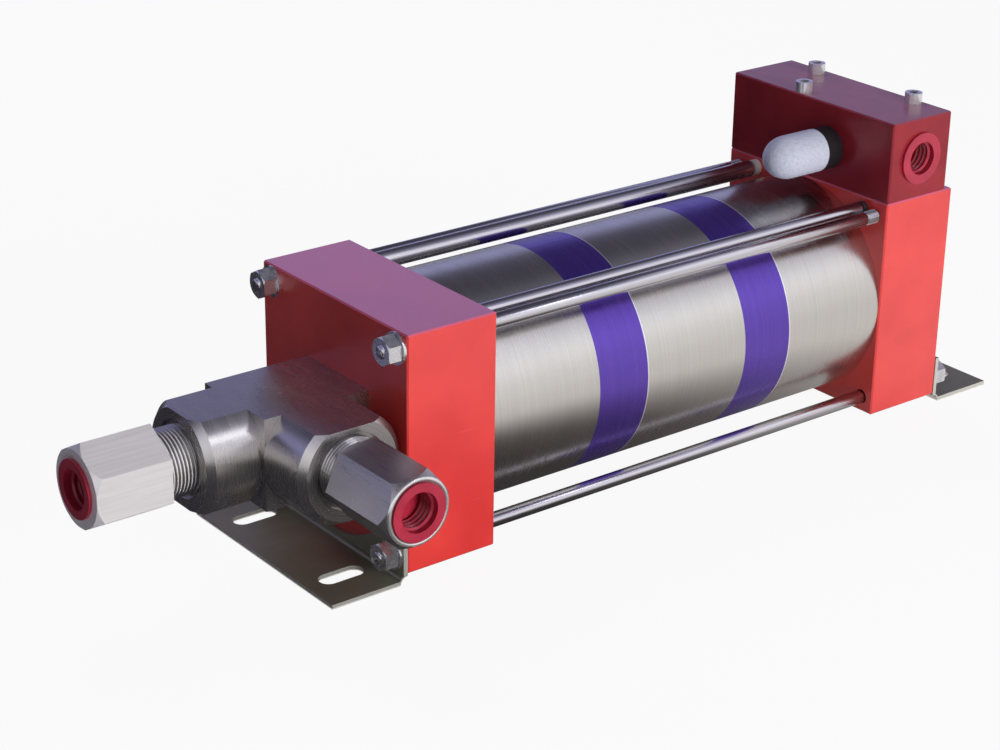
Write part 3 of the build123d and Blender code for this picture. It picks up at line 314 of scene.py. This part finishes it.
# Air barrels: honed aluminium tubes, clear anodised to a champagne satin. The lathe left fine
# rings round them, which draw the light out into soft streaks.
barrel_skin, tree, shader = new_finish("barrel_skin", (0.62, 0.60, 0.56), 1.0, 0.27)
rings = stretched_noise(tree, 3, (900, 2, 2), detail=3)
tree.links.new(colour_ramp(tree, rings, (0.3, (0.60, 0.575, 0.54)), (0.7, (0.66, 0.635, 0.60))),
               shader.inputs["Base Color"])
bands = stretched_noise(tree, 3, (60, 1, 1), detail=2)
tree.links.new(span(tree, bands, 0.3, 0.7, 0.25, 0.29), shader.inputs["Roughness"])
raise_bump(tree, shader, rings, 0.04, 0.00001)
dress(barrel_skin, "barrel_front", "barrel_middle", "barrel_rear")

# Separators: aluminium discs between the barrels, dyed a deep violet, with a thin pale grey edge
# along the rear corner of each.
separator_dye, tree, shader = new_finish("separator_dye", (0.09, 0.035, 0.42), 0.8, 0.30)
rings = stretched_noise(tree, 3, (800, 3, 3), detail=3)
surface_tone = colour_ramp(tree, rings, (0.3, (0.115, 0.060, 0.40)), (0.7, (0.14, 0.075, 0.46)))
place = shader_node(tree, "ShaderNodeTexCoord")
along = shader_node(tree, "ShaderNodeSeparateXYZ", {0: place.outputs["Object"]})
shifted = shader_node(tree, "ShaderNodeMath", {0: along.outputs["X"], 1: 68 * mm}, operation="ADD")
local = shader_node(tree, "ShaderNodeMath", {0: shifted.outputs[0], 1: 104 * mm}, operation="MODULO")
edge = shader_node(tree, "ShaderNodeMath", {0: local.outputs[0], 1: 33.3 * mm}, operation="GREATER_THAN")
tree.links.new(laid_over(tree, surface_tone, (0.85, 0.85, 0.9, 1), edge.outputs[0]), shader.inputs["Base Color"])
bands = stretched_noise(tree, 3, (90, 1, 1), detail=2)
tree.links.new(span(tree, bands, 0.3, 0.7, 0.24, 0.30), shader.inputs["Roughness"])
dress(separator_dye, "separator_front", "separator_rear")

# Tie rods: ground stainless bar with a rolled M8 thread at both ends. The lower two end in nuts
# behind the rear cap, and the upper two are screwed into it, a few turns short of their thread.
tie_rod_steel, tree, shader = new_finish("tie_rod_steel", (0.62, 0.60, 0.64), 1.0, 0.24)
draw = stretched_noise(tree, 30, (1, 60, 60), detail=3)
tree.links.new(colour_ramp(tree, draw, (0.3, (0.58, 0.56, 0.60)), (0.7, (0.66, 0.64, 0.67))),
               shader.inputs["Base Color"])
tree.links.new(span(tree, draw, 0.3, 0.7, 0.20, 0.29), shader.inputs["Roughness"])


def turned_bar(shape, axis_point, outline):
    """Add a solid of revolution about a line along X; outline is pairs of place and radius."""
    side = Vector((0, 0, 1))
    rim = [shape.verts.new(Vector(axis_point) + Vector((x, 0, 0)) + side * r) for x, r in outline]
    edges = [shape.edges.new(pair) for pair in zip(rim, rim[1:])]
    bmesh.ops.spin(shape, geom=[*edges, *rim], cent=axis_point, axis=(1, 0, 0), angle=2 * pi, steps=40,
                   use_merge=True)


def thread_teeth(shape, axis_point, along, start, turns, pitch, root, crest, steps):
    """Add one closed coil of thread about an axis; a crest inside its root faces inwards."""
    side = Vector((0, 0, 1))
    base = Vector(axis_point) + Vector(along) * start
    buried = root - 0.3 * mm if crest > root else root + 0.3 * mm
    marks = ((0.0, buried), (0.98, buried), (0.56, crest), (0.42, crest))
    corners = [shape.verts.new(base + Vector(along) * pitch * t + side * r) for t, r in marks]
    tooth = shape.faces.new(corners)
    bmesh.ops.spin(shape, geom=[tooth, *tooth.edges, *tooth.verts], cent=axis_point, axis=along,
                   dvec=Vector(along) * pitch / steps, angle=2 * pi * turns, steps=int(steps * turns))


def finished_piece(name, shape, finish, smooth):
    """Make the shape one named piece of the housing, in a finish and a material slot."""
    bmesh.ops.remove_doubles(shape, verts=shape.verts, dist=1e-6)
    bmesh.ops.recalc_face_normals(shape, faces=shape.faces)
    for face in shape.faces:
        face.smooth = smooth
    mesh = bpy.data.meshes.new(name)
    shape.to_mesh(mesh)
    shape.free()
    mesh.materials.append(finish)
    piece = bpy.data.objects.new(name, mesh)
    bpy.context.scene.collection.objects.link(piece)
    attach(piece, "housing")
    return piece


rod_low, rod_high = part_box("tie_rods")
rods = bmesh.new()
coils = bmesh.new()
for y in (-56 * mm, 56 * mm):
    for z, front, rear in ((14.5 * mm, rod_low.x, rod_high.x), (126.5 * mm, -203.6 * mm, 152 * mm)):
        thread_start = 197.5 * mm if rear > 160 * mm else 131 * mm
        turned_bar(rods, (0, y, z), (
            (front, 0), (front, 2.7 * mm), (front + 0.6 * mm, 3.45 * mm), (-193 * mm, 3.45 * mm),
            (-192.4 * mm, 4 * mm), (thread_start - 0.5 * mm, 4 * mm), (thread_start, 3.45 * mm),
            (rear - 0.6 * mm, 3.45 * mm), (rear, 2.7 * mm), (rear, 0)))
        thread_teeth(coils, (0, y, z), (1, 0, 0), front + 0.3 * mm, 7, 1.25 * mm, 3.45 * mm, 4 * mm, 28)
        thread_teeth(coils, (0, y, z), (1, 0, 0), thread_start, 6.5, 1.25 * mm, 3.45 * mm, 4 * mm, 28)
tie_rod_bars = finished_piece("tie_rod_bars", rods, tie_rod_steel, True)
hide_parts("tie_rods")
tie_rod_threads = finished_piece("tie_rod_threads", coils, tie_rod_steel, False)

# Air tubes: drawn stainless tube between the caps, above the barrels, with the fine marks of
# the die along them. A pale plastic spacer and a black ring close their rear ends.
tube_steel, tree, shader = new_finish("tube_steel", (0.60, 0.58, 0.62), 1.0, 0.22)
draw = stretched_noise(tree, 24, (1, 80, 80), detail=4)
tree.links.new(colour_ramp(tree, draw, (0.3, (0.56, 0.54, 0.58)), (0.7, (0.65, 0.63, 0.66))),
               shader.inputs["Base Color"])
tree.links.new(span(tree, draw, 0.3, 0.7, 0.18, 0.28), shader.inputs["Roughness"])
dress(tube_steel, "transfer_tube", "pilot_tube")

collar_grey, tree, shader = new_finish("collar_grey", (0.62, 0.61, 0.60), 0.0, 0.45)
turned = stretched_noise(tree, 60, (20, 1, 1))
tree.links.new(colour_ramp(tree, turned, (0.3, (0.50, 0.49, 0.49)), (0.7, (0.68, 0.67, 0.66))),
               shader.inputs["Base Color"])
raise_bump(tree, shader, turned, 0.2, 0.0001)
dress(collar_grey, "transfer_tube_collar")
collar_black, tree, shader = new_finish("collar_black", (0.02, 0.02, 0.022), 0.0, 0.5)
turned = stretched_noise(tree, 60, (20, 1, 1))
tree.links.new(colour_ramp(tree, turned, (0.3, (0.012, 0.012, 0.014)), (0.7, (0.035, 0.034, 0.037))),
               shader.inputs["Base Color"])
raise_bump(tree, shader, turned, 0.2, 0.0001)
dress(collar_black, "pilot_tube_collar")

# Nuts and washers on the tie rods: cold-formed steel, bright zinc plated, with a faintly
# mottled plate that is duller where a spanner has gripped it.
bright_zinc, tree, shader = new_finish("bright_zinc", (0.74, 0.74, 0.76), 0.9, 0.22)
speck = stretched_noise(tree, 260, (1, 1, 1))
tree.links.new(colour_ramp(tree, speck, (0.35, (0.62, 0.62, 0.65)), (0.65, (0.80, 0.80, 0.83))),
               shader.inputs["Base Color"])
tree.links.new(span(tree, speck, 0.3, 0.7, 0.16, 0.32), shader.inputs["Roughness"])
dress(bright_zinc, "tie_rod_nuts", "tie_rod_washers")

# Pressure head: stainless bar, milled flat top and bottom, with both port arms turned round, so
# that the end face of each arm carries rings about its own axis.
head_steel, tree, shader = new_finish("head_steel", (0.50, 0.475, 0.46), 0.95, 0.27)


def facing(tree, axis, limit):
    """1 where a face looks along the negative axis, from the surface's own normal."""
    place = shader_node(tree, "ShaderNodeTexCoord")
    looks = shader_node(tree, "ShaderNodeSeparateXYZ", {0: place.outputs["Normal"]})
    return shader_node(tree, "ShaderNodeMath", {0: looks.outputs[axis], 1: -limit},
                       operation="LESS_THAN").outputs[0]


def lathe_rings(tree, axis_point, across, pitch):
    """Fine rings about an axis; across is 1 for the two directions square to it."""
    place = shader_node(tree, "ShaderNodeTexCoord")
    off = shader_node(tree, "ShaderNodeVectorMath", {0: place.outputs["Object"], 1: axis_point},
                      operation="SUBTRACT")
    off = shader_node(tree, "ShaderNodeVectorMath", {0: off.outputs[0], 1: across}, operation="MULTIPLY")
    radius = shader_node(tree, "ShaderNodeVectorMath", {0: off.outputs[0]}, operation="LENGTH")
    return shader_node(tree, "ShaderNodeTexNoise", {"W": radius.outputs["Value"], "Scale": 1 / pitch,
                                                    "Detail": 2.0}, noise_dimensions="1D").outputs[0]


swirl = stretched_noise(tree, 40, (5, 1, 1), (0, 0, radians(25)), 2)
suction_rings = lathe_rings(tree, (0, 0, 70.5 * mm), (0, 1, 1), 0.9 * mm)
delivery_rings = lathe_rings(tree, (-226 * mm, 0, 72.5 * mm), (1, 0, 1), 0.9 * mm)
marks = shader_node(tree, "ShaderNodeMix", {"Factor": facing(tree, "X", 0.9), 2: swirl, 3: suction_rings})
marks = shader_node(tree, "ShaderNodeMix", {"Factor": facing(tree, "Y", 0.9), 2: marks.outputs[0],
                                            3: delivery_rings}).outputs[0]
tree.links.new(colour_ramp(tree, marks, (0.3, (0.485, 0.46, 0.455)), (0.7, (0.55, 0.53, 0.52))),
               shader.inputs["Base Color"])
tree.links.new(span(tree, marks, 0.3, 0.7, 0.25, 0.29), shader.inputs["Roughness"])
raise_bump(tree, shader, marks, 0.06, 0.00005)
dress(head_steel, "pressure_head")

# Suction fitting: cold-drawn hexagon bar with the grain of the die along its flats, screwed into
# the arm on the pump's axis. Its flats are coloured far paler than the delivery fitting's, a painted
# highlight for the near side's light.
suction_hex_painted_lit, tree, shader = new_finish("suction_hex_painted_lit", (0.86, 0.84, 0.85), 0.25, 0.36)
grain = stretched_noise(tree, 14, (2, 60, 60), detail=4)
tree.links.new(colour_ramp(tree, grain, (0.3, (0.81, 0.79, 0.80)), (0.7, (0.90, 0.88, 0.89))),
               shader.inputs["Base Color"])
tree.links.new(span(tree, grain, 0.3, 0.7, 0.30, 0.42), shader.inputs["Roughness"])
raise_bump(tree, shader, grain, 0.1, 0.00006)
dress(suction_hex_painted_lit, "inlet_fitting")

# Delivery fitting: the same bar one size smaller, with its grain across the pump, coloured dark as
# painted shade, and with a rounded bright bead turned on the outer end round the port.
delivery_hex_painted_shade, tree, shader = new_finish("delivery_hex_painted_shade", (0.42, 0.40, 0.41), 0.9, 0.32)
grain = stretched_noise(tree, 14, (60, 2, 60), detail=4)
tree.links.new(colour_ramp(tree, grain, (0.3, (0.38, 0.36, 0.37)), (0.7, (0.46, 0.44, 0.45))),
               shader.inputs["Base Color"])
tree.links.new(span(tree, grain, 0.3, 0.7, 0.26, 0.38), shader.inputs["Roughness"])
raise_bump(tree, shader, grain, 0.1, 0.00006)
dress(delivery_hex_painted_shade, "outlet_fitting")


bead_steel, tree, shader = new_finish("bead_steel", (0.72, 0.70, 0.70), 0.8, 0.24)
fine = stretched_noise(tree, 90, (1, 30, 1))
tree.links.new(colour_ramp(tree, fine, (0.3, (0.66, 0.64, 0.64)), (0.7, (0.80, 0.78, 0.78))),
               shader.inputs["Base Color"])
bead = bmesh.new()
bmesh.ops.create_circle(bead, cap_ends=False, radius=1.3 * mm, segments=16)
bmesh.ops.rotate(bead, matrix=Matrix(((0, 0, 1), (1, 0, 0), (0, 1, 0))), verts=bead.verts)
bmesh.ops.translate(bead, vec=(-226 * mm, -119.2 * mm, (72.5 + 16.7) * mm), verts=bead.verts)
bmesh.ops.spin(bead, geom=[*bead.edges, *bead.verts], cent=(-226 * mm, 0, 72.5 * mm), axis=(0, 1, 0),
               angle=2 * pi, steps=96, use_merge=True)
outlet_bead = finished_piece("outlet_bead", bead, bead_steel, True)

# Port threads: the fittings' fine 2 mm threads, cut on a lathe, show between each hexagon and
# its arm, with dark grooves between bright crests.
thread_steel, tree, shader = new_finish("thread_steel", (0.36, 0.34, 0.34), 0.9, 0.28)
oily = stretched_noise(tree, 120, (1, 1, 1))
tree.links.new(colour_ramp(tree, oily, (0.3, (0.28, 0.26, 0.26)), (0.7, (0.44, 0.42, 0.42))),
               shader.inputs["Base Color"])


for name, axis_point, along, start, turns in (
        ("inlet_thread", (0, 0, 70.5 * mm), (1, 0, 0), -300 * mm, 7.6),
        ("outlet_thread", (-226 * mm, 0, 72.5 * mm), (0, 1, 0), -72 * mm, 3.9)):
    teeth = bmesh.new()
    thread_teeth(teeth, axis_point, along, start, turns, 2 * mm, 17.3 * mm, 18.1 * mm, 48)
    finished_piece(name, teeth, thread_steel, False)

# Transit plugs: soft moulded cups in a slightly translucent red, pushed into the three ports.
# Ribs like a screw thread run round inside each, where its moulding core was unscrewed.
plug_red, tree, shader = new_finish("plug_red", (0.42, 0.022, 0.055), 0.0, 0.34)
shader.inputs["Subsurface Weight"].default_value = 0.15
shader.inputs["Subsurface Radius"].default_value = (0.003, 0.0008, 0.0008)
waxy = stretched_noise(tree, 110, (1, 1, 1))
tree.links.new(colour_ramp(tree, waxy, (0.3, (0.36, 0.018, 0.045)), (0.7, (0.47, 0.027, 0.062))),
               shader.inputs["Base Color"])
tree.links.new(span(tree, waxy, 0.3, 0.7, 0.28, 0.42), shader.inputs["Roughness"])
dress(plug_red, "inlet_plug", "outlet_plug", "air_inlet_plug")

for name, axis_point, along, start, bore in (
        ("inlet_plug_ribs", (0, 0, 70.5 * mm), (1, 0, 0), -341 * mm, 10.5 * mm),
        ("outlet_plug_ribs", (-226 * mm, 0, 72.5 * mm), (0, 1, 0), -119 * mm, 10.5 * mm),
        ("air_plug_ribs", (163.5 * mm, 0, 159 * mm), (0, 1, 0), -64.5 * mm, 9.5 * mm)):
    teeth = bmesh.new()
    thread_teeth(teeth, axis_point, along, start, 4.2, 2.8 * mm, bore, bore - 1.1 * mm, 48)
    finished_piece(name, teeth, plug_red, False)

# Valve block: the same aluminium in an older, darker wine-red anodising with a glossier skin,
# chipped pale along its upper corners.
block_red, tree, shader = new_finish("block_red", (0.30, 0.018, 0.028), 0.0, 0.2)
shader.inputs["IOR"].default_value = 1.38
cloud = stretched_noise(tree, 30, (1, 1, 1))
surface_tone = colour_ramp(tree, cloud, (0.35, (0.235, 0.012, 0.022)), (0.7, (0.33, 0.020, 0.030)))
chips = stretched_noise(tree, 260, (1, 1, 1), detail=2)
corner_wear_and_highlight = shader_node(tree, "ShaderNodeMath", {
    0: worn_and_highlit_corners(tree, (140 * mm, -65 * mm, 135.5 * mm), (187 * mm, 65 * mm, 182.5 * mm), 0.6 * mm),
    1: span(tree, chips, 0.45, 0.6, 0.05, 0.9)}, operation="MULTIPLY")
# Painted sheen: pale violet laid over the faces that look up.
surface_tone = laid_over(tree, surface_tone, (0.50, 0.38, 0.60, 1), painted_top_sheen(tree, 0.22))
tree.links.new(laid_over(tree, surface_tone, (0.75, 0.50, 0.48, 1), corner_wear_and_highlight.outputs[0]), shader.inputs["Base Color"])
rubs = stretched_noise(tree, 70, (6, 1, 6), (0, radians(15), radians(30)), 4)
tree.links.new(span(tree, rubs, 0.3, 0.7, 0.17, 0.27), shader.inputs["Roughness"])
raise_bump(tree, shader, rubs, 0.06, 0.00006)
dress(block_red, "valve_block")

# Cap screws: socket heads of zinc-plated steel hold the valve block down, with a fine straight
# knurl round their sides.
screw_zinc, tree, shader = new_finish("screw_zinc", (0.74, 0.74, 0.76), 0.8, 0.26)
knurl = stretched_noise(tree, 1100, (1, 1, 0.02), detail=1)
tree.links.new(colour_ramp(tree, knurl, (0.3, (0.60, 0.60, 0.63)), (0.7, (0.84, 0.84, 0.86))),
               shader.inputs["Base Color"])
raise_bump(tree, shader, knurl, 0.3, 0.0002)
dress(screw_zinc, "valve_block_screws")

# Exhaust silencer: a domed sleeve of sintered plastic beads on a black moulded base that is
# screwed into the valve block.
silencer_beads, tree, shader = new_finish("silencer_beads", (0.57, 0.60, 0.72), 0.0, 0.8)
beads = stretched_noise(tree, 650, (1, 1, 1), detail=2)
tree.links.new(colour_ramp(tree, beads, (0.3, (0.48, 0.51, 0.63)), (0.6, (0.58, 0.61, 0.73))),
               shader.inputs["Base Color"])
raise_bump(tree, shader, beads, 0.7, 0.0004)
dress(silencer_beads, "silencer_cap")
silencer_black, tree, shader = new_finish("silencer_black", (0.012, 0.012, 0.015), 0.0, 0.45)
grained = stretched_noise(tree, 400, (1, 1, 1))
tree.links.new(span(tree, grained, 0.3, 0.7, 0.36, 0.55), shader.inputs["Roughness"])
raise_bump(tree, shader, grained, 0.2, 0.0001)
dress(silencer_black, "silencer_base")

# Foot brackets: folded steel sheet with an olive passivated coat. The shears left the cut edges
# and the slots' rims bare and bright.
bracket_coat, tree, shader = new_finish("bracket_coat", (0.26, 0.24, 0.19), 0.6, 0.45)
cloud = stretched_noise(tree, 18, (1, 1, 1), detail=5)
coat = colour_ramp(tree, cloud, (0.3, (0.245, 0.24, 0.175)), (0.7, (0.345, 0.335, 0.25)))
place = shader_node(tree, "ShaderNodeTexCoord")
looks = shader_node(tree, "ShaderNodeVectorMath", {0: place.outputs["Normal"]}, operation="ABSOLUTE")
looks = shader_node(tree, "ShaderNodeSeparateXYZ", {0: looks.outputs[0]})
height = shader_node(tree, "ShaderNodeSeparateXYZ", {0: place.outputs["Object"]})
sole = shader_node(tree, "ShaderNodeMath", {0: height.outputs["Z"], 1: 2.45 * mm}, operation="LESS_THAN")
end_face = shader_node(tree, "ShaderNodeMath", {0: looks.outputs["X"], 1: sole.outputs[0]},
                       operation="MULTIPLY")
cut = shader_node(tree, "ShaderNodeMath", {0: looks.outputs["Y"], 1: end_face.outputs[0]},
                  operation="MAXIMUM")
cut = shader_node(tree, "ShaderNodeMath", {0: cut.outputs[0], 1: 0.5}, operation="GREATER_THAN")
tree.links.new(laid_over(tree, coat, (0.66, 0.65, 0.60, 1), cut.outputs[0]), shader.inputs["Base Color"])
rolled = stretched_noise(tree, 30, (1, 8, 1), detail=4)
tree.links.new(span(tree, rolled, 0.3, 0.7, 0.42, 0.52), shader.inputs["Roughness"])
dress(bracket_coat, "front_bracket", "rear_bracket")

# Drive train inside the barrels: three turned aluminium pistons on a ground steel rod, with
# sleeves between them, a nose that holds the plunger, and a lock nut.
piston_alloy, tree, shader = new_finish("piston_alloy", (0.60, 0.60, 0.61), 1.0, 0.3)
rings = lathe_rings(tree, (0, 0, 70.5 * mm), (0, 1, 1), 0.8 * mm)
tree.links.new(colour_ramp(tree, rings, (0.3, (0.54, 0.54, 0.55)), (0.7, (0.68, 0.68, 0.69))),
               shader.inputs["Base Color"])
tree.links.new(span(tree, rings, 0.3, 0.7, 0.22, 0.38), shader.inputs["Roughness"])
dress(piston_alloy, "piston_front", "piston_middle", "piston_rear")
ground_steel, tree, shader = new_finish("ground_steel", (0.50, 0.50, 0.53), 1.0, 0.18)
grind = stretched_noise(tree, 40, (30, 2, 2), detail=4)
tree.links.new(colour_ramp(tree, grind, (0.3, (0.45, 0.45, 0.48)), (0.7, (0.57, 0.57, 0.60))),
               shader.inputs["Base Color"])
tree.links.new(span(tree, grind, 0.3, 0.7, 0.12, 0.26), shader.inputs["Roughness"])
dress(ground_steel, "drive_rod", "rod_sleeve_front", "rod_sleeve_rear", "rod_nose", "rod_nut", "plunger")

# Seals: black nitrile lips and rings with a dull moulded skin, and pale filled-plastic guide
# rings and plunger packing with the tool marks of their turning.
seal_rubber, tree, shader = new_finish("seal_rubber", (0.02, 0.02, 0.022), 0.0, 0.6)
skin = stretched_noise(tree, 180, (1, 1, 1), detail=4)
tree.links.new(colour_ramp(tree, skin, (0.3, (0.012, 0.012, 0.013)), (0.7, (0.035, 0.035, 0.037))),
               shader.inputs["Base Color"])
tree.links.new(span(tree, skin, 0.3, 0.7, 0.5, 0.7), shader.inputs["Roughness"])
dress(seal_rubber, "barrel_seals", "piston_seals", "spool_seals", "front_rod_seal", "separator_rod_seals")
seal_plastic, tree, shader = new_finish("seal_plastic", (0.72, 0.68, 0.56), 0.0, 0.5)
turned = stretched_noise(tree, 60, (16, 1, 1))
tree.links.new(colour_ramp(tree, turned, (0.3, (0.60, 0.56, 0.44)), (0.7, (0.76, 0.72, 0.60))),
               shader.inputs["Base Color"])
raise_bump(tree, shader, turned, 0.15, 0.0001)
dress(seal_plastic, "piston_guide_rings", "plunger_packing")

# Bushes: plain bearings of cast bronze in the caps, the separators and the head, browned where
# oil has stood on them.
bearing_bronze, tree, shader = new_finish("bearing_bronze", (0.55, 0.36, 0.16), 1.0, 0.34)
stain = stretched_noise(tree, 70, (1, 1, 1), detail=5)
tree.links.new(colour_ramp(tree, stain, (0.3, (0.38, 0.23, 0.10)), (0.7, (0.66, 0.44, 0.20))),
               shader.inputs["Base Color"])
tree.links.new(span(tree, stain, 0.3, 0.7, 0.26, 0.42), shader.inputs["Roughness"])
dress(bearing_bronze, "front_rod_bush", "separator_bushes", "plunger_bush", "pilot_guides")

# Check valves and pilot pins: hardened steel seats, coned poppets, stops and pins, lapped to a
# fine grey, with springs of dark drawn wire.
lapped_steel, tree, shader = new_finish("lapped_steel", (0.44, 0.44, 0.47), 1.0, 0.2)
lapping = stretched_noise(tree, 300, (1, 1, 1), detail=3)
tree.links.new(colour_ramp(tree, lapping, (0.3, (0.38, 0.38, 0.41)), (0.7, (0.50, 0.50, 0.53))),
               shader.inputs["Base Color"])
tree.links.new(span(tree, lapping, 0.3, 0.7, 0.14, 0.30), shader.inputs["Roughness"])
dress(lapped_steel, "valve_seats", "spring_stops", "inlet_poppet", "outlet_poppet", "front_pilot_pin",
      "rear_pilot_pin")
spring_wire, tree, shader = new_finish("spring_wire", (0.34, 0.33, 0.33), 1.0, 0.3)
scale = stretched_noise(tree, 500, (1, 1, 1))
tree.links.new(colour_ramp(tree, scale, (0.3, (0.24, 0.23, 0.23)), (0.7, (0.44, 0.43, 0.43))),
               shader.inputs["Base Color"])
dress(spring_wire, "inlet_valve_spring", "outlet_valve_spring", "front_pilot_spring",
      "rear_pilot_spring")

# Air valve: a turned aluminium spool in a drilled liner, behind a plug in the valve block's far
# face, all clear anodised.
valve_alloy, tree, shader = new_finish("valve_alloy", (0.64, 0.64, 0.66), 1.0, 0.28)
rings = stretched_noise(tree, 30, (1, 30, 1), detail=3)
tree.links.new(colour_ramp(tree, rings, (0.3, (0.58, 0.58, 0.60)), (0.7, (0.70, 0.70, 0.72))),
               shader.inputs["Base Color"])
tree.links.new(span(tree, rings, 0.3, 0.7, 0.22, 0.36), shader.inputs["Roughness"])
dress(valve_alloy, "spool_liner", "spool", "spool_end_plug")

low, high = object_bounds()
